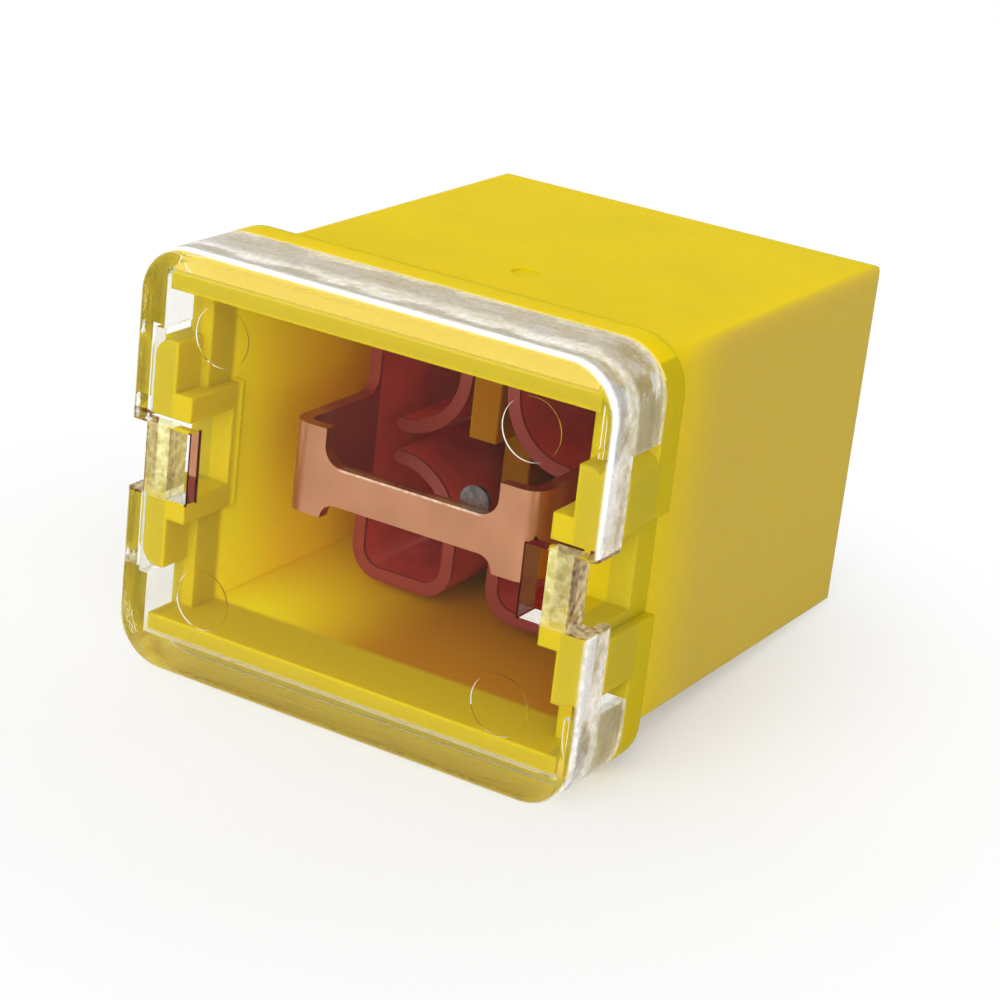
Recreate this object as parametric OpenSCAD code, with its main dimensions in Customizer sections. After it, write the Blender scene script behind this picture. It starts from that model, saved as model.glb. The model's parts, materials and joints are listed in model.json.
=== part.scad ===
// Low-profile female cartridge fuse for the fuse box of a road vehicle.
// A moulded housing holds one copper element; a clear lid closes the housing in front of the link.
// Sizes in millimetres. The fuse lies on its broad side: the lid's face looks along -Y, the two
// openings for the blades are at the +Y end, and +Z is up.

/* [Housing] */
// Width of the body behind the flange
body_w = 13.8; // [11.1:0.1:16.6]
// Height of the body behind the flange
body_h = 11.2; // [9.4:0.1:13.4]
// Length from the lid's face to the end wall's outer face
overall_l = 18.4; // [15.3:0.1:22.1]
// Thickness of the two side walls
side_wall = 0.7; // [0.5:0.05:0.9]
// Thickness of the top and bottom walls
flat_wall = 0.7; // [0.5:0.05:0.9]
// Thickness of the end wall with the blade openings
end_wall = 1.2; // [0.9:0.1:1.6]
// Radius of the body's long edges
body_edge_r = 0.4; // [0.2:0.1:0.6]
// Radius of the two upright corners at the body's end
rear_corner_r = 0.6; // [0.3:0.1:1.4]
// Thickness of the divider between the two sockets
divider_t = 0.9; // [0.6:0.1:1.2]
// Distance from the lid's face to the divider's front edge
divider_start = 7.1; // [6.4:0.1:8]
// How far the divider's lower part is set back from that edge
divider_setback = 2.2; // [1.5:0.1:3]
// Thickness of the ribs that steady the terminals
rib_t = 0.6; // [0.4:0.1:1]
// Distance between the middles of the two ribs in one socket
rib_span = 5.0; // [3:0.1:6]
// Distance from the lid's face to the front of the ribs
rib_start = 9.6; // [8.5:0.1:12]
// Size of the slope that leads a blade into its opening
lead_in = 0.5; // [0.2:0.1:0.8]
// Distance from the lid's face to the round gate mark on the top
gate_mark_y = 8.2; // [6:0.1:12]
// Diameter of the gate mark
gate_mark_d = 0.8; // [0.4:0.1:1.2]

/* [Flange] */
// How far the flange stands out from the body's sides
flange_side = 0.7; // [0.6:0.05:1.2]
// How far the flange stands out from the body's top and bottom
flange_top = 0.7; // [0.5:0.05:1.2]
// Thickness of the flange behind the lid
flange_t = 1.0; // [0.7:0.05:1.5]
// Radius of the corners of the flange and the lid
flange_r = 1.5; // [1.1:0.1:2]
// Height of the raised shoulder in the middle of each short side
shoulder_h = 6.8; // [5.6:0.1:7.6]
// Radius of the shoulder's corners
shoulder_r = 0.5; // [0.2:0.05:0.8]
// Thickness of the shoulders behind the low skirt
shoulder_t = 0.75; // [0.6:0.05:0.9]
// Distance from the lid's face to the front of the side walls above and below the shoulders
wall_start = 2.0; // [1.6:0.1:2.4]
// Height of the shallow recess in the flange's short edge
recess_h = 3.0; // [2.4:0.1:4]
// Depth of that recess
recess_d = 0.3; // [0.1:0.05:0.5]
// Height over the two pads inside each shoulder
pad_h = 3.8; // [3.2:0.1:5]
// How far the pads stand into the chamber
pad_t = 0.6; // [0.3:0.05:0.8]

/* [Lid] */
// Thickness of the lid's clear plate
lid_t = 0.85; // [0.7:0.05:1.1]
// Thickness of the skirt along the long sides
skirt_t = 0.8; // [0.6:0.05:1]
// Thickness of the skirt at the ends of the short sides
corner_t = 0.6; // [0.5:0.05:0.7]
// Thickness of the low skirt over the shoulders
low_skirt_t = 0.3; // [0.2:0.05:0.5]
// Depth of the lid from its face to the end of the skirt
skirt_l = 2.85; // [2.4:0.05:3.4]
// Depth of the lid from its face to the end of the low skirt
low_skirt_l = 1.35; // [1.2:0.05:1.6]
// Radius of the lid's front edge
lid_edge_r = 0.2; // [0.1:0.05:0.5]
// Height of the notch and the latch eye in each short side
eye_h = 2.1; // [1.7:0.1:2.6]
// Depth of the notch in each short side
notch_d = 0.6; // [0.4:0.05:0.8]
// Width of the clear bar between the notch and the eye
eye_bar = 0.8; // [0.6:0.05:1]
// Width of the latch eye
eye_w = 0.7; // [0.5:0.05:0.9]
// Diameter of the four round marks inside the plate
mark_d = 1.8; // [1.4:0.1:2.2]
// Distance from a short side to the middles of the two marks beside it
mark_side = 2.6; // [2.3:0.1:3]
// Distance from a long side to the middles of the two marks beside it
mark_top = 2.35; // [1.9:0.05:2.8]
// Depth of the marks that the moulding tools leave
mark_depth = 0.06; // [0.03:0.01:0.1]

/* [Terminals and link] */
// Thickness of the copper sheet
metal_t = 0.4; // [0.3:0.05:0.5]
// Thickness of the blades that the terminals take
blade_t = 0.8; // [0.6:0.05:1]
// Width of those blades
blade_w = 6.3; // [5:0.1:6.4]
// Distance between the middles of the two blades
blade_pitch = 6.7; // [5.6:0.1:8]
// Distance from the lid's face to the front of the link
link_depth = 3.3; // [2.4:0.1:3.8]
// Height of the narrow link
link_h = 1.15; // [0.8:0.05:1.4]
// How far the link's middle lies below the fuse's middle
link_drop = 0.4; // [0.2:0.05:0.5]
// Height of the heads at the two ends of the link
head_h = 2.7; // [2.4:0.1:3.4]
// How far the heads' middle lies below the fuse's middle
head_drop = 0.1; // [0:0.05:0.2]
// Width of each head, measured in from the outside of its neck
head_w = 1.25; // [1.1:0.05:1.8]
// Outside radius of the bend between a head and its neck
head_bend_r = 0.6; // [0.5:0.05:0.9]
// Radius of the inside corners where the link meets the heads
link_fillet_r = 0.6; // [0.2:0.05:0.8]
// Radius of the inside corners where the neck widens into the base plate
neck_fillet_r = 0.5; // [0.2:0.05:0.8]
// Distance from the lid's face to the front of the terminals
terminal_start = 7.2; // [6.6:0.1:8]
// Outside radius of the folds beside the base plate
fold_r = 1.0; // [0.7:0.1:1.3]
// Outside radius of the corners where the sides turn down
roll_r = 1.0; // [0.7:0.1:1.2]
// Gap between the two lips that press on the blade
lip_gap = 0.6; // [0.4:0.1:1]
// How far a lip springs back when a blade goes in
lip_preload = 0.05; // [0.02:0.01:0.1]
// Diameter of the tin bead behind the link
bead_d = 0.95; // [0.7:0.05:1.3]
// Thickness of the tin bead
bead_t = 0.5; // [0.3:0.05:0.7]
// Distance of the tin bead from the fuse's middle
bead_x = 1.9; // [1:0.1:2]
// How far the tin bead reaches down behind the link
bead_grip = 0.35; // [0.2:0.05:0.5]

/* [Clearances] */
// Gap between the skirt and the parts of the housing inside it
skirt_gap = 0.1; // [0.05:0.05:0.2]
// Gap between the low skirt's ends and the shoulders
shoulder_gap = 0.3; // [0.1:0.05:0.5]
// Gap between the lid and the faces that it seats on
seat_gap = 0.05; // [0.02:0.01:0.1]
// Gap between the terminals and the socket walls
terminal_gap = 0.15; // [0.05:0.05:0.3]
// Gap between a blade and its opening in the end wall
mouth_gap = 0.35; // [0.2:0.05:0.5]

/* [Hidden] */
$fn = 48;
// Cuts run this far past the face that they open
over = 1;
// The flange, and the rim and the shoulders that the skirt goes round
flange_w = body_w + 2 * flange_side;
flange_h = body_h + 2 * flange_top;
flange_front = skirt_l + seat_gap;
flange_back = flange_front + flange_t;
rim_w = flange_w - 2 * (corner_t + skirt_gap);
rim_h = flange_h - 2 * (skirt_t + skirt_gap);
rim_front = lid_t + seat_gap;
ledge_front = low_skirt_l + seat_gap;
ledge_w = flange_w - 2 * (low_skirt_t + seat_gap);
shoulder_x = ledge_w / 2 - shoulder_t;
// The chamber behind the lid, which runs on into both sockets
chamber_w = body_w - 2 * side_wall;
chamber_h = body_h - 2 * flat_wall;
end_wall_front = overall_l - end_wall;
// The notch and the latch eye in the lid, and the slot in the housing behind them
notch_x = flange_w / 2 - notch_d;
eye_x = notch_x - eye_bar - eye_w;
latch_slot_h = eye_h + 2 * skirt_gap;
// The terminals: base_x is the outside of a base plate, measured from the fuse's middle
base_x = blade_pitch / 2 + blade_t / 2 + metal_t;
terminal_w = base_x - divider_t / 2 - terminal_gap;
terminal_h = chamber_h - 4 * terminal_gap;
terminal_end = end_wall_front - terminal_gap;
// The lips curl in until their ends press on the blade
lip_x = metal_t + blade_t + metal_t / 2 - lip_preload;
curl_r = terminal_w - lip_x;
curl_z = lip_gap / 2 + curl_r;
// Heights of the link, the heads and the bead above the fuse's middle
link_top = link_h / 2 - link_drop;
link_bottom = -link_h / 2 - link_drop;
head_top = head_h / 2 - head_drop;
head_bottom = -head_h / 2 - head_drop;
bead_z = link_top + bead_d / 2 - bead_grip;
divider_step_z = link_top + link_fillet_r;
// The openings for the blades
mouth_w = blade_t + 2 * mouth_gap;
mouth_h = blade_w + 2 * mouth_gap;

// A rectangle with round corners, made of squares and circles
module round_rect(w, h, r) {
    square([w - 2 * r, h], center = true);
    square([w, h - 2 * r], center = true);
    for (sx = [-1, 1], sz = [-1, 1]) {
        translate([sx * (w / 2 - r), sz * (h / 2 - r)]) circle(r);
    }
}

// A rectangle from y0 to y1 with its two far corners round
module far_rounded(w, y0, y1, r) {
    translate([-w / 2, y0]) square([w, y1 - y0 - r]);
    translate([-w / 2 + r, y0]) square([w - 2 * r, y1 - y0]);
    for (sx = [-1, 1]) {
        translate([sx * (w / 2 - r), y1 - r]) circle(r);
    }
}

// A quarter of a ring, in the quadrant that qx and qy point to
module ring_quarter(r, t, qx, qy) {
    intersection() {
        difference() {
            circle(r);
            circle(r - t);
        }
        translate([qx * r / 2, qy * r / 2]) square(r, center = true);
    }
}

// A concave corner of radius r, filling the quadrant that qx and qy point to
module inside_corner(r, qx, qy) {
    difference() {
        translate([qx * r / 2, qy * r / 2]) square(r, center = true);
        translate([qx * r, qy * r]) circle(r);
    }
}

// A slot's outline across its lead-in: as wide as the opening, then wider by the slope
module lead_in_outline(w, y0) {
    polygon([
        [-w / 2, y0], [w / 2, y0], [w / 2, overall_l - lead_in],
        [w / 2 + lead_in + over, overall_l + over], [-w / 2 - lead_in - over, overall_l + over],
        [-w / 2, overall_l - lead_in]]);
}

// An outline drawn in X and Z, carried along Y
module along_y(y0, y1) {
    translate([0, y1, 0]) rotate([90, 0, 0]) linear_extrude(y1 - y0) children();
}

// An outline drawn in Y and Z, carried along X
module along_x(x0, x1) {
    translate([x0, 0, 0]) rotate([90, 0, 90]) linear_extrude(x1 - x0) children();
}

// An outline drawn in X and Y, carried along Z
module along_z(z0, z1) {
    translate([0, 0, z0]) linear_extrude(z1 - z0) children();
}

// Draws a thing on the right and mirrored on the left
module both_sides() {
    children();
    mirror([1, 0, 0]) children();
}

// Moves the fuse from the frame that it is drawn in, with the lid's face at Y 0 and its middle at
// Z 0, to the frame that it rests in
module placed() {
    translate([0, -overall_l / 2, flange_h / 2]) children();
}

// The body's solid form: its three outlines where they cross
module body_block() {
    intersection() {
        along_y(flange_front, overall_l) round_rect(body_w, body_h, body_edge_r);
        along_z(-body_h, body_h) far_rounded(body_w, flange_front - over, overall_l, rear_corner_r);
        along_x(-body_w, body_w) rotate(-90)
            far_rounded(body_h, flange_front - over, overall_l, body_edge_r);
    }
}

// The flange, with the shoulders on its short sides
module flange_block() {
    difference() {
        union() {
            along_y(flange_front, flange_back) round_rect(flange_w, flange_h, flange_r);
            along_y(ledge_front, flange_back) round_rect(flange_w, shoulder_h, shoulder_r);
            along_y(rim_front, flange_back) round_rect(ledge_w, shoulder_h, shoulder_r);
        }
        both_sides() along_y(0, flange_back + over)
            translate([flange_w / 2 - recess_d, -recess_h / 2]) square([recess_d + over, recess_h]);
        along_y(0, wall_start) square([2 * shoulder_x, chamber_h], center = true);
    }
}

// The rim inside the skirt: one bar above the chamber's mouth and one below, with the low side
// walls between them
module rim() {
    along_y(wall_start, flange_back) square([rim_w, rim_h], center = true);
    for (sz = [-1, 1]) {
        along_y(rim_front, flange_back) translate([0, sz * (rim_h + chamber_h) / 4])
            square([rim_w, (rim_h - chamber_h) / 2], center = true);
    }
}

// The chamber and the two sockets behind it, with the divider left standing between them
module chamber() {
    along_y(wall_start - over, divider_start) square([chamber_w, chamber_h], center = true);
    both_sides() along_y(divider_start - over, end_wall_front)
        translate([divider_t / 2, -chamber_h / 2])
        square([(chamber_w - divider_t) / 2, chamber_h]);
    along_y(divider_start - over, divider_start + divider_setback)
        translate([-divider_t, -chamber_h / 2])
        square([2 * divider_t, chamber_h / 2 + divider_step_z]);
}

// The pad inside the right shoulder and the ribs beside the right terminal
module inner_ribs() {
    rib_x = base_x + terminal_gap;
    along_y(rim_front, flange_front + flange_t / 2)
        translate([shoulder_x - pad_t, -pad_h / 2]) square([pad_t + shoulder_t / 2, pad_h]);
    for (sz = [-1, 1]) {
        along_y(rib_start, end_wall_front + end_wall / 2)
            translate([rib_x, (sz * rib_span - rib_t) / 2])
            square([(chamber_w + side_wall) / 2 - rib_x, rib_t]);
    }
}

// The opening in the end wall for the right blade, with a slope all round it
module blade_mouth() {
    translate([blade_pitch / 2, 0, 0]) intersection() {
        along_z(-body_h, body_h) lead_in_outline(mouth_w, end_wall_front - over);
        along_x(-body_w, body_w) rotate(-90)
            lead_in_outline(mouth_h, end_wall_front - over);
    }
}

// The moulded housing: body, flange, shoulders, sockets and divider in one piece
module housing() {
    color("gold") placed() difference() {
        union() {
            difference() {
                union() {
                    body_block();
                    flange_block();
                    rim();
                }
                chamber();
            }
            both_sides() inner_ribs();
        }
        both_sides() blade_mouth();
        along_y(0, flange_front) square([flange_w + over, latch_slot_h], center = true);
        translate([0, gate_mark_y, body_h / 2 - mark_depth]) cylinder(d = gate_mark_d, h = over);
    }
}

// The lid before it is hollowed: round corners and a rounded front edge
module lid_block() {
    post_x = flange_w / 2 - flange_r;
    post_z = flange_h / 2 - flange_r;
    for (sx = [-1, 1], sz = [-1, 1]) {
        translate([sx * post_x, 0, sz * post_z]) rotate([-90, 0, 0]) rotate_extrude() {
            translate([0, lid_edge_r]) square([flange_r, skirt_l - lid_edge_r]);
            square([flange_r - lid_edge_r, skirt_l]);
            translate([flange_r - lid_edge_r, lid_edge_r]) ring_quarter(lid_edge_r, lid_edge_r, 1, -1);
        }
    }
    along_x(-post_x, post_x) rotate(90) far_rounded(flange_h, -skirt_l, 0, lid_edge_r);
    along_z(-post_z, post_z) rotate(180) far_rounded(flange_w, -skirt_l, 0, lid_edge_r);
}

// The notch and the latch eye in the lid's right side
module latch_eye() {
    along_y(-over, skirt_l + over) translate([notch_x, -eye_h / 2]) square([notch_d + over, eye_h]);
    along_y(-over, skirt_l + over) translate([eye_x, -eye_h / 2]) square([eye_w, eye_h]);
}

// The clear moulded lid: plate, skirt and the four round marks inside the plate
module lid() {
    low_h = shoulder_h + 2 * shoulder_gap;
    color("whitesmoke", 0.4) placed() difference() {
        lid_block();
        along_y(lid_t, skirt_l + over) {
            square([flange_w - 2 * corner_t, flange_h - 2 * skirt_t], center = true);
            square([flange_w - 2 * low_skirt_t, low_h], center = true);
        }
        along_y(low_skirt_l, skirt_l + over) square([flange_w + over, low_h], center = true);
        both_sides() latch_eye();
        for (sx = [-1, 1], sz = [-1, 1]) {
            along_y(lid_t - mark_depth, lid_t + over)
                translate([sx * (flange_w / 2 - mark_side), sz * (flange_h / 2 - mark_top)])
                circle(d = mark_d);
        }
    }
}

// Half of a terminal's folded outline, measured in from the outside of its base plate
module terminal_half() {
    half_h = terminal_h / 2;
    side_x = terminal_w - metal_t;
    square([metal_t, half_h - fold_r]);
    translate([fold_r, half_h - fold_r]) ring_quarter(fold_r, metal_t, -1, 1);
    translate([fold_r, half_h - metal_t]) square([terminal_w - fold_r - roll_r, metal_t]);
    translate([terminal_w - roll_r, half_h - roll_r]) ring_quarter(roll_r, metal_t, 1, 1);
    translate([side_x, curl_z]) square([metal_t, half_h - roll_r - curl_z]);
    translate([lip_x, curl_z]) ring_quarter(curl_r, metal_t, 1, -1);
    translate([lip_x, (lip_gap + metal_t) / 2]) circle(d = metal_t);
}

// The right terminal: base plate, two folded sides and two spring lips
module terminal() {
    along_y(terminal_start, terminal_end) translate([base_x, 0]) mirror([1, 0]) {
        terminal_half();
        mirror([0, 1]) terminal_half();
    }
}

// The neck that joins the right terminal to its head, with the bend between them
module neck() {
    neck_start = link_depth + head_bend_r;
    along_x(base_x - metal_t, base_x) {
        translate([neck_start, head_bottom]) square([terminal_start + over - neck_start, head_h]);
        translate([terminal_start, head_top]) inside_corner(neck_fillet_r, -1, 1);
        translate([terminal_start, head_bottom]) inside_corner(neck_fillet_r, -1, -1);
    }
    along_z(head_bottom, head_top) translate([base_x - head_bend_r, neck_start])
        ring_quarter(head_bend_r, metal_t, 1, -1);
}

// The right half of the link with its head, upright behind the lid
module half_link() {
    head_x = base_x - head_w;
    low_fillet_r = min(link_fillet_r, link_bottom - head_bottom);
    along_y(link_depth, link_depth + metal_t) {
        translate([0, link_bottom]) square([head_x + metal_t, link_h]);
        translate([head_x, head_bottom]) square([head_w - head_bend_r, head_h]);
        translate([head_x, link_top]) inside_corner(link_fillet_r, -1, 1);
        translate([head_x, link_bottom]) inside_corner(low_fillet_r, -1, -1);
    }
}

// The copper element: two terminals and the link between them, pressed from one sheet
module fuse_element() {
    color("peru") placed() both_sides() {
        terminal();
        neck();
        half_link();
    }
}

// The tin bead fused to the back of the link
module tin_bead() {
    dome_r = (bead_d * bead_d / 4 + bead_t * bead_t) / (2 * bead_t);
    color("silver") placed() translate([bead_x, link_depth + metal_t, bead_z])
        rotate([-90, 0, 0]) rotate_extrude() intersection() {
            translate([0, bead_t - dome_r]) circle(dome_r);
            square([bead_d / 2, bead_t]);
        }
}

housing();
lid();
fuse_element();
tin_bead();
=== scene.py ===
import json
import math

import bmesh
import bpy
from mathutils import Matrix, Vector


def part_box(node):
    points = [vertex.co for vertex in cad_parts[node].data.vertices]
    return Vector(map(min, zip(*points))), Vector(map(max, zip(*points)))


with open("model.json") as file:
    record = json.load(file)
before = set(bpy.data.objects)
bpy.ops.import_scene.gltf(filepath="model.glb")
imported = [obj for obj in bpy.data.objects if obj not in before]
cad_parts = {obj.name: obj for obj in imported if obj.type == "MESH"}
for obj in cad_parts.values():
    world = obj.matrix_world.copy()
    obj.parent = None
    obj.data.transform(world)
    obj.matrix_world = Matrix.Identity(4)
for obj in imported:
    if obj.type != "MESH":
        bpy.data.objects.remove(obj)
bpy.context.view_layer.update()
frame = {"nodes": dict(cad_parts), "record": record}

# The housing is one moulding in yellow glass-filled nylon: body, flange, shoulders and sockets.
# It is moulded in one shot, so its edges are slightly soft and its faces have a fine satin grain,
# and thin walls let a little light through.
housing = frame["nodes"]["housing"]
housing_low, housing_high = (Vector(corner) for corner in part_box("housing"))
middle = (housing_low + housing_high) / 2
half = (housing_high - housing_low) / 2
MM = 0.001
FLANGE_BORDER = 0.7 * MM
WALL = 0.7 * MM
END_WALL = 1.2 * MM
DIVIDER = 0.9 * MM
RIM_INSET = 0.9 * MM
FLANGE_FACE = 2 * MM
FLANGE_BACK = 3 * MM
EDGE_SOFTNESS = 0.12 * MM
body_side = half.x - FLANGE_BORDER
rim_top = half.z - RIM_INSET
chamber_side = body_side - WALL
chamber_top = half.z - FLANGE_BORDER - WALL


def smooth_curves(piece):
    """Shades a piece's curved faces smooth; its flat faces meet in clean edges."""
    for face in piece.data.polygons:
        face.use_smooth = True


def new_material(name):
    """A material with its node tree, its finish shader and the place of each point in metres."""
    material = bpy.data.materials.new(name)
    material.use_nodes = True
    tree = material.node_tree
    place = tree.nodes.new("ShaderNodeTexCoord").outputs["Object"]
    return material, tree, tree.nodes["Principled BSDF"], place


def cover(piece, material):
    """Gives the whole piece one material."""
    piece.data.materials.clear()
    piece.data.materials.append(material)


def feed(tree, socket, value):
    """Gives a socket a number, a colour or what another node puts out."""
    if isinstance(value, bpy.types.NodeSocket):
        tree.links.new(value, socket)
    elif isinstance(value, tuple):
        socket.default_value = (*value, 1)
    else:
        socket.default_value = value


def work_out(tree, operation, first, second=0):
    """One sum on two patterns or numbers, such as ADD, SUBTRACT, DIVIDE or ABSOLUTE."""
    sum_node = tree.nodes.new("ShaderNodeMath")
    sum_node.operation = operation
    feed(tree, sum_node.inputs[0], first)
    feed(tree, sum_node.inputs[1], second)
    return sum_node.outputs[0]


def where_all(tree, *masks):
    """A mask that is 1 only where all of these are 1."""
    together = masks[0]
    for mask in masks[1:]:
        together = work_out(tree, "MULTIPLY", together, mask)
    return together


def stretch(tree, value, from_range, to_range, smooth=False):
    """Turns the values of from_range into those of to_range, and stays at its ends beyond it."""
    reach = tree.nodes.new("ShaderNodeMapRange")
    if smooth:
        reach.interpolation_type = "SMOOTHSTEP"
    reach.inputs["From Min"].default_value, reach.inputs["From Max"].default_value = from_range
    reach.inputs["To Min"].default_value, reach.inputs["To Max"].default_value = to_range
    tree.links.new(value, reach.inputs["Value"])
    return reach.outputs["Result"]


def ramp(tree, value, start, end):
    """Rises smoothly from 0 where the value is at start to 1 where it is at end."""
    return stretch(tree, value, (start, end), (0, 1), smooth=True)


def speckle(tree, place, grain_mm, detail=3.0):
    """A cloudy pattern whose grains are about grain_mm across."""
    cloud = tree.nodes.new("ShaderNodeTexNoise")
    cloud.inputs["Scale"].default_value = 1 / (grain_mm * MM)
    cloud.inputs["Detail"].default_value = detail
    tree.links.new(place, cloud.inputs["Vector"])
    return cloud.outputs["Fac"]


def between(tree, pattern, low, high):
    """A cloudy pattern's values stretched to run from low to high."""
    return stretch(tree, pattern, (0.35, 0.65), (low, high))


def mix_colours(tree, factor, first, second, blend_type="MIX"):
    """The first colour where factor is 0 and the second where it is 1."""
    mix = tree.nodes.new("ShaderNodeMix")
    mix.data_type = "RGBA"
    mix.blend_type = blend_type
    feed(tree, mix.inputs["Factor"], factor)
    feed(tree, mix.inputs["A"], first)
    feed(tree, mix.inputs["B"], second)
    return mix.outputs["Result"]


def two_tone(tree, pattern, first, second):
    """A colour that drifts between two tones with the pattern."""
    return mix_colours(tree, between(tree, pattern, 0, 1), first, second)


def relief(tree, pattern, height_mm, strength, edge_softness=0):
    """Raises the surface by height_mm where the pattern is light, over edges shaded soft."""
    bump = tree.nodes.new("ShaderNodeBump")
    if edge_softness:
        soft_edge = tree.nodes.new("ShaderNodeBevel")
        soft_edge.samples = 4
        soft_edge.inputs["Radius"].default_value = edge_softness
        tree.links.new(soft_edge.outputs["Normal"], bump.inputs["Normal"])
    bump.inputs["Strength"].default_value = strength
    bump.inputs["Distance"].default_value = height_mm * MM
    tree.links.new(pattern, bump.inputs["Height"])
    return bump.outputs["Normal"]


def from_middle(tree, place, middle):
    """The place as X, Y and Z measured from a piece's middle."""
    shift = tree.nodes.new("ShaderNodeVectorMath")
    shift.operation = "SUBTRACT"
    shift.inputs[1].default_value = middle
    tree.links.new(place, shift.inputs[0])
    parts = tree.nodes.new("ShaderNodeSeparateXYZ")
    tree.links.new(shift.outputs["Vector"], parts.inputs[0])
    return parts.outputs["X"], parts.outputs["Y"], parts.outputs["Z"]


yellow_nylon, tree, finish, place = new_material("yellow_nylon")
x, y, z = from_middle(tree, place, middle)
width = work_out(tree, "ABSOLUTE", x)
height = work_out(tree, "ABSOLUTE", z)
from_end = work_out(tree, "ADD", y, half.y)
drift = speckle(tree, place, 4.0)
grain = speckle(tree, place, 0.12, 4.0)
outer_skin = two_tone(tree, drift, (0.78, 0.56, 0.004), (0.72, 0.53, 0.006))

# The side walls are painted a duller, browner yellow, which fades in behind the flange. It stands
# for the shade on them and is not a second plastic.
SIDE_YELLOW = (0.54, 0.385, 0.052)
SIDE_TURNS_DULL = 7.5 * MM
beside = where_all(tree, ramp(tree, width, body_side - 0.4 * MM, body_side - 0.04 * MM),
                   ramp(tree, from_end, FLANGE_BACK, SIDE_TURNS_DULL))
outer_skin = mix_colours(tree, beside, outer_skin, SIDE_YELLOW)

# The flange's side edges are painted a darker yellow, a painted shade like that on the side walls.
FLANGE_EDGE_SHADE = (0.50, 0.38, 0.006)
flange_edge = where_all(tree, ramp(tree, width, body_side + 0.28 * MM, body_side + 0.36 * MM),
                        ramp(tree, from_end, FLANGE_BACK + 0.2 * MM, FLANGE_BACK))
outer_skin = mix_colours(tree, flange_edge, outer_skin, FLANGE_EDGE_SHADE)

# The rim and the shoulders under the lid are painted an olive yellow, darker than the outside, as
# painted shade.
RIM_SHADE = (0.46, 0.36, 0.02)
rim_part = where_all(tree, ramp(tree, height, rim_top + 0.05 * MM, rim_top - 0.05 * MM),
                     ramp(tree, from_end, FLANGE_FACE + 0.2 * MM, FLANGE_FACE + 0.1 * MM))
outer_skin = mix_colours(tree, rim_part, outer_skin, RIM_SHADE)

# The flange's face behind the skirt is painted paler, as painted light.
FLANGE_FACE_LIGHT = (0.68, 0.55, 0.12)
flange_face = where_all(tree, ramp(tree, height, rim_top - 0.05 * MM, rim_top + 0.05 * MM),
                        ramp(tree, from_end, FLANGE_FACE + 0.1 * MM, FLANGE_FACE + 0.04 * MM))
outer_skin = mix_colours(tree, flange_face, outer_skin, FLANGE_FACE_LIGHT)

# Inside the chamber the yellow is painted brighter than outside, as painted light, and it deepens
# towards the back as painted shade. Its mouth is painted darker, as painted shade. The right side
# of its floor and the divider are painted brown, which stands for the shade and the copper's
# reflection on them.
MOUTH_SHADE = (0.56, 0.42, 0.01)
FLOOR_BROWN = (0.48, 0.20, 0.005)
DIVIDER_BROWN = (0.34, 0.13, 0.004)
CHAMBER_DEPTH = 6.5 * MM
end_wall_inside = 2 * half.y - END_WALL
within = where_all(tree, ramp(tree, width, chamber_side + 0.4 * MM, chamber_side + 0.35 * MM),
                   ramp(tree, height, chamber_top + 0.1 * MM, chamber_top + 0.05 * MM),
                   ramp(tree, from_end, end_wall_inside + 0.3 * MM, end_wall_inside + 0.1 * MM))
mouth = ramp(tree, from_end, FLANGE_FACE + 0.4 * MM, FLANGE_FACE + 0.1 * MM)
bottom = where_all(tree, ramp(tree, x, -5 * MM, 0),
                   ramp(tree, z, 0.2 * MM - chamber_top, -chamber_top))
divider = where_all(tree, ramp(tree, width, DIVIDER / 2 + 0.25 * MM, DIVIDER / 2 + 0.05 * MM),
                    ramp(tree, height, chamber_top, chamber_top - 0.1 * MM))
chamber_light_and_shade = mix_colours(tree, ramp(tree, from_end, FLANGE_FACE, CHAMBER_DEPTH),
                        (0.97, 0.80, 0.006), (0.96, 0.66, 0.005))
chamber_light_and_shade = mix_colours(tree, bottom, chamber_light_and_shade, FLOOR_BROWN)
chamber_light_and_shade = mix_colours(tree, mouth, chamber_light_and_shade, MOUTH_SHADE)
chamber_light_and_shade = mix_colours(tree, divider, chamber_light_and_shade, DIVIDER_BROWN)

feed(tree, finish.inputs["Base Color"], mix_colours(tree, within, outer_skin, chamber_light_and_shade))
feed(tree, finish.inputs["Roughness"], between(tree, grain, 0.36, 0.5))
feed(tree, finish.inputs["Normal"], relief(tree, grain, 0.004, 0.5, EDGE_SOFTNESS))
finish.inputs["IOR"].default_value = 1.5
finish.inputs["Specular IOR Level"].default_value = 0.01
finish.inputs["Subsurface Weight"].default_value = 0.5
finish.inputs["Subsurface Radius"].default_value = (1.0, 0.6, 0.05)
finish.inputs["Subsurface Scale"].default_value = 1.1 * MM
cover(housing, yellow_nylon)
smooth_curves(housing)

# The lid is one moulding in clear polycarbonate that snaps over the shoulders. Its long skirt is
# slightly wavy where the melt flowed round it, and its edges are polished smooth by the tool.
lid = frame["nodes"]["lid"]
lid_low, lid_high = (Vector(corner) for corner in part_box("lid"))
face_middle = Vector(((lid_low.x + lid_high.x) / 2, lid_low.y, (lid_low.z + lid_high.z) / 2))
half_w, half_h = (lid_high.x - lid_low.x) / 2, (lid_high.z - lid_low.z) / 2
SKIRT_LENGTH = 2.9 * MM
CORNER_R = 1.5 * MM
EYE_HALF_H = 1.05 * MM
NOTCH_DEPTH = 0.6 * MM
BAR_WIDTH = 0.8 * MM
EYE_WIDTH = 0.7 * MM
bar_end = half_w - NOTCH_DEPTH
bar_start = bar_end - BAR_WIDTH
eye_start = bar_start - EYE_WIDTH


def where_any(tree, first, second):
    """A mask that is as strong as the stronger of the two."""
    return work_out(tree, "MAXIMUM", first, second)


def outside_of(tree, mask):
    """A mask that is 1 where the given one is 0."""
    return work_out(tree, "SUBTRACT", 1.0, mask)


def past_corner(tree, distance, half_size):
    """How far a point lies beyond the start of the rounded corner, or 0."""
    return where_any(tree, work_out(tree, "SUBTRACT", distance, half_size - CORNER_R), 0)


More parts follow.
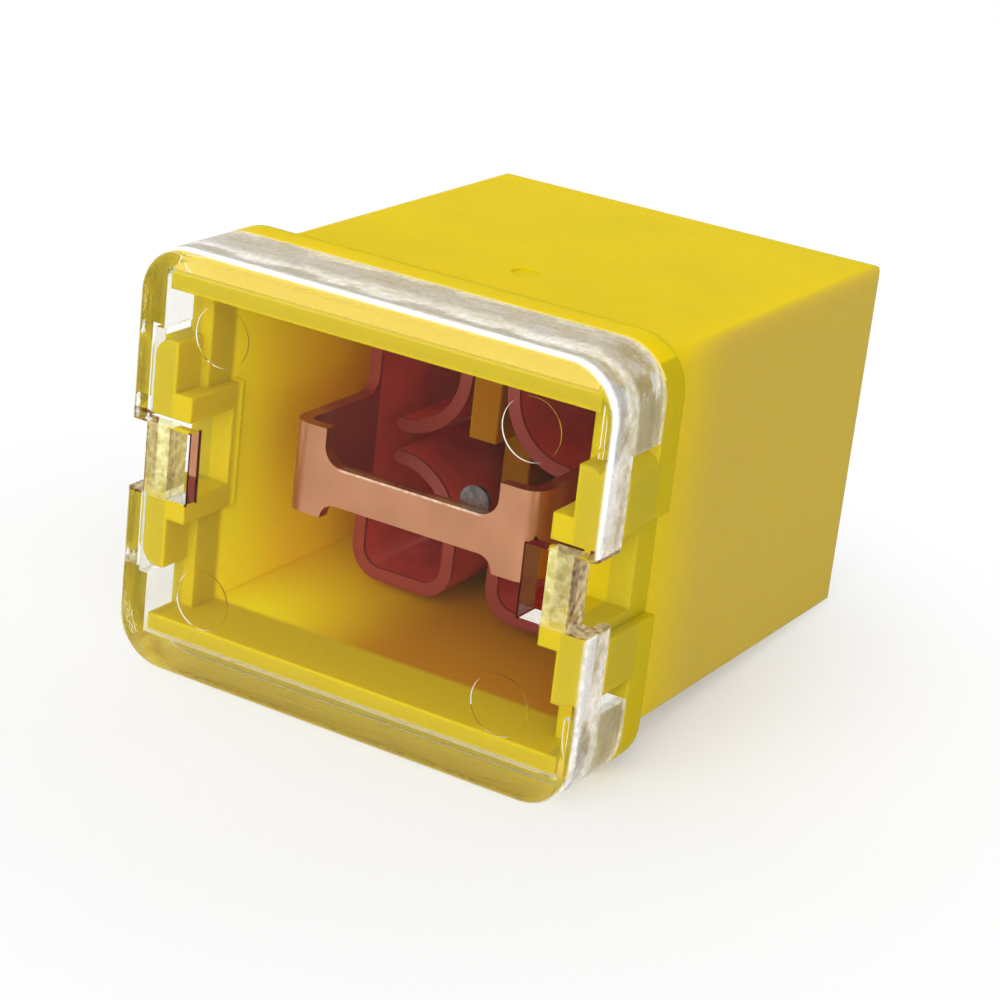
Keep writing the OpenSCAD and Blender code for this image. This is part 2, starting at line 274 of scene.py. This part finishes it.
clear_polycarbonate, tree, finish, place = new_material("clear_polycarbonate")
x, y, z = from_middle(tree, place, face_middle)
surface = tree.nodes.new("ShaderNodeNewGeometry")
width = work_out(tree, "ABSOLUTE", x)
height = work_out(tree, "ABSOLUTE", z)

# The skirt is the moulding's outer wall, apart from its underside and the latch eyes.
past_x = past_corner(tree, width, half_w)
past_z = past_corner(tree, height, half_h)
squares = work_out(tree, "ADD", work_out(tree, "MULTIPLY", past_x, past_x),
                   work_out(tree, "MULTIPLY", past_z, past_z))
skirt = where_all(
    tree, ramp(tree, work_out(tree, "SQRT", squares), 0.75 * CORNER_R, 0.88 * CORNER_R),
    work_out(tree, "GREATER_THAN", height, EYE_HALF_H + 0.1 * MM),
    ramp(tree, z, -half_h, -half_h + 0.5 * MM), ramp(tree, y, 0.02 * MM, 0.1 * MM),
    outside_of(tree, surface.outputs["Backfacing"]))

# The skirt has waves along it and fine flecks in it.
along = tree.nodes.new("ShaderNodeVectorMath")
along.operation = "MULTIPLY"
along.inputs[1].default_value = (1, 2, 1)
tree.links.new(place, along.inputs[0])
waves = speckle(tree, along.outputs["Vector"], 1.3, 2.0)
flecks = speckle(tree, place, 0.22, 2.0)
mottle = work_out(tree, "ADD", work_out(tree, "MULTIPLY", waves, 0.6),
                  work_out(tree, "MULTIPLY", flecks, 0.4))
haze = where_all(tree, skirt, between(tree, mottle, 0.35, 0.85))

# The skirt is clearer at the sides, except for its front and rear edges.
clearer = where_all(tree, ramp(tree, width, half_w - 0.5 * MM, half_w - 0.2 * MM),
                    ramp(tree, y, 1.2 * MM, 1.6 * MM), ramp(tree, y, 2.75 * MM, 2.55 * MM), 0.7)
haze = where_all(tree, haze, outside_of(tree, clearer))

# From front to back the skirt is painted with a white edge line, bright flecks and a greyer trail:
# painted highlights and reflections.
edge = where_all(tree, skirt, ramp(tree, y, 0.32 * MM, 0.22 * MM),
                 ramp(tree, z, -3 * MM, 3 * MM))
haze = where_any(tree, haze, where_all(tree, edge, 0.95))
trail = tree.nodes.new("ShaderNodeValToRGB")
bands = ((0.0, (1.0, 1.0, 0.97)), (0.09, (1.0, 1.0, 0.97)), (0.13, (0.45, 0.43, 0.40)),
         (0.2, (0.52, 0.50, 0.47)), (0.3, (0.97, 0.95, 0.92)), (0.42, (0.95, 0.93, 0.90)),
         (0.54, (0.52, 0.48, 0.42)), (0.85, (0.56, 0.51, 0.43)), (0.94, (0.85, 0.76, 0.56)))
stops = trail.color_ramp.elements
for number, (at, tone) in enumerate(bands):
    stop = stops[0] if number == 0 else stops.new(at)
    stop.position = at
    stop.color = (*tone, 1)
stops.remove(stops[-1])
wander = where_all(tree, between(tree, waves, -0.25 * MM, 0.25 * MM),
                   ramp(tree, y, 0.2 * MM, 0.8 * MM))
feed(tree, trail.inputs["Fac"],
     work_out(tree, "DIVIDE", work_out(tree, "ADD", y, wander), SKIRT_LENGTH))
# On the middle of its short sides the skirt is painted an even pinkish white instead, also a
# painted reflection.
LOW_SKIRT_REFLECTION = (0.94, 0.86, 0.78)
low_skirt = where_all(tree, ramp(tree, height, 3.9 * MM, 3.5 * MM),
                      ramp(tree, y, 0.2 * MM, 0.3 * MM), 0.75)
silver = mix_colours(tree, low_skirt, trail.outputs["Color"], LOW_SKIRT_REFLECTION)
silver = mix_colours(tree, 1.0, silver, where_any(tree, between(tree, mottle, 0.7, 1.05), edge),
                     blend_type="MULTIPLY")

# The skirt's lower edge is painted yellow, and the latch bars and their outer walls yellow, olive
# and brown: painted reflections of the housing and copper behind them. The inner walls of the
# latch eyes are painted near black, as painted shade.
LOWER_EDGE_REFLECTION = (0.95, 0.89, 0.68)
EYE_WALL_SHADE = (0.02, 0.001, 0.0005)
clear = two_tone(tree, waves, (0.985, 0.985, 0.965), (0.975, 0.975, 0.95))
lower_edge = ramp(tree, z, -half_h + 1.4 * MM, -half_h + 0.7 * MM)
clear = mix_colours(tree, lower_edge, clear, LOWER_EDGE_REFLECTION)
in_eye = work_out(tree, "LESS_THAN", height, EYE_HALF_H + 0.05 * MM)
bar = where_all(tree, in_eye, work_out(tree, "GREATER_THAN", width, bar_start - 0.05 * MM))
clear = mix_colours(tree, bar, clear,
                    two_tone(tree, flecks, (0.55, 0.48, 0.16), (0.88, 0.84, 0.46)))
bar_wall = where_all(tree, in_eye, work_out(tree, "GREATER_THAN", width, bar_end - 0.04 * MM))
clear = mix_colours(tree, bar_wall, clear,
                    two_tone(tree, flecks, (0.09, 0.025, 0.006), (0.62, 0.42, 0.16)))
off_eye_wall = work_out(tree, "ABSOLUTE", work_out(tree, "SUBTRACT", width, eye_start))
eye_wall = where_all(tree, in_eye, work_out(tree, "LESS_THAN", off_eye_wall, 0.05 * MM))
clear = mix_colours(tree, eye_wall, clear, EYE_WALL_SHADE)
feed(tree, finish.inputs["Base Color"], mix_colours(tree, skirt, clear, silver))

haze = where_any(tree, haze, where_all(tree, bar, 0.3))
feed(tree, finish.inputs["Transmission Weight"], outside_of(tree, haze))
feed(tree, finish.inputs["Roughness"], stretch(tree, haze, (0, 1), (0.01, 0.35)))
rim_zone = where_any(tree, ramp(tree, width, half_w - 0.45 * MM, half_w - 0.25 * MM),
                     ramp(tree, height, half_h - 0.45 * MM, half_h - 0.25 * MM))
swell = where_all(tree, rim_zone, ramp(tree, y, 0.05 * MM, 0.3 * MM), mottle)
feed(tree, finish.inputs["Normal"], relief(tree, swell, 0.06, 0.6))
finish.inputs["IOR"].default_value = 1.5
finish.inputs["Specular Tint"].default_value = (0.08, 0.08, 0.08, 1)

# As a shortcut, the shader lets light through the clear walls unbent, and lets a ray out after
# three reflections inside them.
see_through = tree.nodes.new("ShaderNodeBsdfTransparent")
see_through.inputs["Color"].default_value = (0.97, 0.97, 0.95, 1)
ray = tree.nodes.new("ShaderNodeLightPath")
bounced = work_out(tree, "GREATER_THAN", ray.outputs["Glossy Depth"], 2.5)
lets_light_in = where_any(tree, ray.outputs["Is Shadow Ray"], ray.outputs["Is Diffuse Ray"])
light_or_look = tree.nodes.new("ShaderNodeMixShader")
feed(tree, light_or_look.inputs["Fac"], where_any(tree, lets_light_in, bounced))
feed(tree, light_or_look.inputs[1], finish.outputs["BSDF"])
feed(tree, light_or_look.inputs[2], see_through.outputs["BSDF"])
feed(tree, tree.nodes["Material Output"].inputs["Surface"], light_or_look.outputs["Shader"])
cover(lid, clear_polycarbonate)
smooth_curves(lid)

# The fuse element is pressed and folded from one strip of bare copper sheet: two rolled blade
# terminals, their necks and heads, and the narrow link that melts.
fuse_element = frame["nodes"]["fuse_element"]
head_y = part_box("fuse_element")[0][1]
TERMINAL_START = 3.9 * MM
LINK_TOP = 6.475 * MM
HIGHLIGHT_END = 2.5 * MM
bare_copper, tree, finish, place = new_material("bare_copper")
tarnish = speckle(tree, place, 1.4, 4.0)
x, y, z = from_middle(tree, place, Vector((0, head_y, 0)))
deep = ramp(tree, y, 0.9 * MM, 1.8 * MM)
link_tone = two_tone(tree, tarnish, (0.61, 0.285, 0.16), (0.53, 0.245, 0.137))
terminal_tone = two_tone(tree, tarnish, (0.80, 0.10, 0.07), (0.62, 0.075, 0.055))

# Behind the link the terminals are painted a deep red, a painted shade and reflection on the
# copper, duller on their sheared ends, and towards the blade openings they turn to plain copper.
SHEARED_TONE = (0.30, 0.045, 0.035)
PLAIN_COPPER = (0.62, 0.24, 0.13)
cut_end = ramp(tree, y, TERMINAL_START + 0.15 * MM, TERMINAL_START + 0.08 * MM)
terminal_tone = mix_colours(tree, cut_end, terminal_tone, SHEARED_TONE)
terminal_tone = mix_colours(tree, ramp(tree, y, 8 * MM, 11 * MM), terminal_tone, PLAIN_COPPER)

# The link's upper edge is painted with a bright broken line, a painted highlight.
LINK_EDGE_HIGHLIGHT = (1.0, 0.80, 0.62)
link_edge_highlight = where_all(tree, ramp(tree, z, LINK_TOP - 0.09 * MM, LINK_TOP - 0.05 * MM),
                 ramp(tree, z, LINK_TOP + 0.05 * MM, LINK_TOP + 0.02 * MM),
                 ramp(tree, y, 0.3 * MM, 0.2 * MM),
                 ramp(tree, work_out(tree, "ABSOLUTE", x), HIGHLIGHT_END, HIGHLIGHT_END - 0.3 * MM),
                 between(tree, speckle(tree, place, 0.16), 0.2, 1.0))
link_tone = mix_colours(tree, link_edge_highlight, link_tone, LINK_EDGE_HIGHLIGHT)
feed(tree, finish.inputs["Base Color"], mix_colours(tree, deep, link_tone, terminal_tone))
feed(tree, finish.inputs["Metallic"], stretch(tree, deep, (0, 1), (1.0, 0.35)))
feed(tree, finish.inputs["Roughness"], between(tree, tarnish, 0.28, 0.42))
feed(tree, finish.inputs["Normal"], relief(tree, speckle(tree, place, 0.08), 0.003, 0.4))
cover(fuse_element, bare_copper)
smooth_curves(fuse_element)

# The bead is a drop of tin melted on to the back of the link, which makes the link melt sooner.
# It is painted a dark grey and is slightly wrinkled.
tin_bead = frame["nodes"]["tin_bead"]
dull_tin, tree, finish, place = new_material("dull_tin")
wrinkle = speckle(tree, place, 0.2)
feed(tree, finish.inputs["Base Color"],
     two_tone(tree, wrinkle, (0.20, 0.17, 0.17), (0.11, 0.09, 0.09)))
feed(tree, finish.inputs["Roughness"], between(tree, wrinkle, 0.22, 0.4))
feed(tree, finish.inputs["Normal"], relief(tree, wrinkle, 0.02, 0.5))
finish.inputs["Metallic"].default_value = 1.0
cover(tin_bead, dull_tin)
smooth_curves(tin_bead)

# The floor is a pale round table top under the fuse, in matt painted board. The fuse lies on its
# flange and on the end of its body, so the table top is tipped to touch both.
TABLE_RADIUS = 0.6
TABLE_GAP = 0.02 * MM
REAR_EDGE_R = 0.4 * MM
SHADOW_REACH = (8 * MM, 24 * MM)
flange_seat = next(mount["pos_m"] for mount in frame["record"]["mounts"]
                   if mount["name"] == "flange_seat")
flange_back_y = flange_seat[1]
body_underside_z = 2 * (housing_high.z - flange_seat[2])
body_end_y = housing_high.y - REAR_EDGE_R
slope = math.atan2(body_underside_z, body_end_y - flange_back_y)
disc = bmesh.new()
bmesh.ops.create_circle(disc, cap_ends=True, segments=96, radius=TABLE_RADIUS)
floor_mesh = bpy.data.meshes.new("floor")
disc.to_mesh(floor_mesh)
disc.free()
floor = bpy.data.objects.new("floor", floor_mesh)
bpy.context.scene.collection.objects.link(floor)
floor.location = (0, flange_back_y, -TABLE_GAP)
floor.rotation_euler = (slope, 0, 0)


def looked_at(tree):
    """1 on the rays that look at the studio: straight, through the lid or off the metal."""
    ray = tree.nodes.new("ShaderNodeLightPath")
    straight_or_through = where_any(tree, ray.outputs["Is Camera Ray"],
                                    ray.outputs["Is Transmission Ray"])
    return where_any(tree, straight_or_through, ray.outputs["Is Glossy Ray"])


pale_table, tree, finish, place = new_material("pale_table")
feed(tree, finish.inputs["Base Color"],
     two_tone(tree, speckle(tree, place, 30.0), (0.9, 0.9, 0.9), (0.88, 0.88, 0.88)))
finish.inputs["Roughness"].default_value = 0.9
away = tree.nodes.new("ShaderNodeVectorMath")
away.operation = "LENGTH"
tree.links.new(place, away.inputs[0])
beyond_shadow = stretch(tree, away.outputs["Value"], SHADOW_REACH, (0.3, 1.0), smooth=True)
white = tree.nodes.new("ShaderNodeEmission")
table_top = tree.nodes.new("ShaderNodeMixShader")
feed(tree, table_top.inputs["Fac"], where_all(tree, looked_at(tree), beyond_shadow))
feed(tree, table_top.inputs[1], finish.outputs["BSDF"])
feed(tree, table_top.inputs[2], white.outputs["Emission"])
feed(tree, tree.nodes["Material Output"].inputs["Surface"], table_top.outputs["Shader"])
cover(floor, pale_table)

# The studio is a plain white room. The wall before the lid is the brightest, so that light reaches
# the chamber, and the wall on the right is dimmer, so that the fuse's side is in half shade.
room = bpy.data.worlds.new("white_room")
bpy.context.scene.world = room
room.use_nodes = True
tree = room.node_tree
walls = tree.nodes["Background"]
walls.inputs["Color"].default_value = (1, 1, 1, 1)
direction = tree.nodes.new("ShaderNodeTexCoord")


def wall_level(toward, from_level, to_level, start, end):
    """The light of the walls, from one level to another as they turn towards a direction."""
    facing = tree.nodes.new("ShaderNodeVectorMath")
    facing.operation = "DOT_PRODUCT"
    facing.inputs[1].default_value = toward
    tree.links.new(direction.outputs["Generated"], facing.inputs[0])
    return stretch(tree, facing.outputs["Value"], (start, end), (from_level, to_level))


front_wall = wall_level((0.35, -0.93, 0.1), 0.37, 3.4, 0.3, 0.92)
right_wall = wall_level((1.0, 0.7, 0.0), 1.0, 0.45, 0.0, 0.8)
level = tree.nodes.new("ShaderNodeMix")
feed(tree, level.inputs["Factor"], looked_at(tree))
feed(tree, level.inputs["A"], where_all(tree, front_wall, right_wall))
level.inputs["B"].default_value = 1.0
tree.links.new(level.outputs["Result"], walls.inputs["Strength"])

# The lamp is one square soft box, hung high over the fuse, a little to the left and the front.
# It faces the middle of the fuse.
SOFT_BOX_SIZE = 110 * MM
SOFT_BOX_WATTS = 0.05
FUSE_MIDDLE = Vector((0, 0, 6.3)) * MM
soft_box = bpy.data.lights.new("overhead", "AREA")
soft_box.size = SOFT_BOX_SIZE
soft_box.energy = SOFT_BOX_WATTS
holder = bpy.data.objects.new("overhead", soft_box)
bpy.context.scene.collection.objects.link(holder)
holder.location = Vector((-20, -10, 150)) * MM
holder.rotation_euler = (FUSE_MIDDLE - holder.location).to_track_quat("-Z", "Y").to_euler()

# The camera has a long lens. It stands in front of the lid's right corner and above it, and is
# tipped a little to the left.
RIGHT = Vector((0.84863, 0.51795, 0.10747))
DOWN = Vector((0.26648, -0.24310, -0.93268))
FORWARD = Vector((-0.45695, 0.82014, -0.34433))
lens = bpy.data.cameras.new("camera")
lens.sensor_width = 36
lens.lens = 100.77
lens.clip_start = 1 * MM
lens.clip_end = 10
camera = bpy.data.objects.new("camera", lens)
bpy.context.scene.collection.objects.link(camera)
turn = Matrix((RIGHT, -DOWN, -FORWARD)).transposed()
camera.matrix_world = Matrix.Translation((0.03804, -0.06926, 0.03351)) @ turn.to_4x4()
bpy.context.scene.camera = camera
bpy.context.scene.view_settings.view_transform = "Standard"
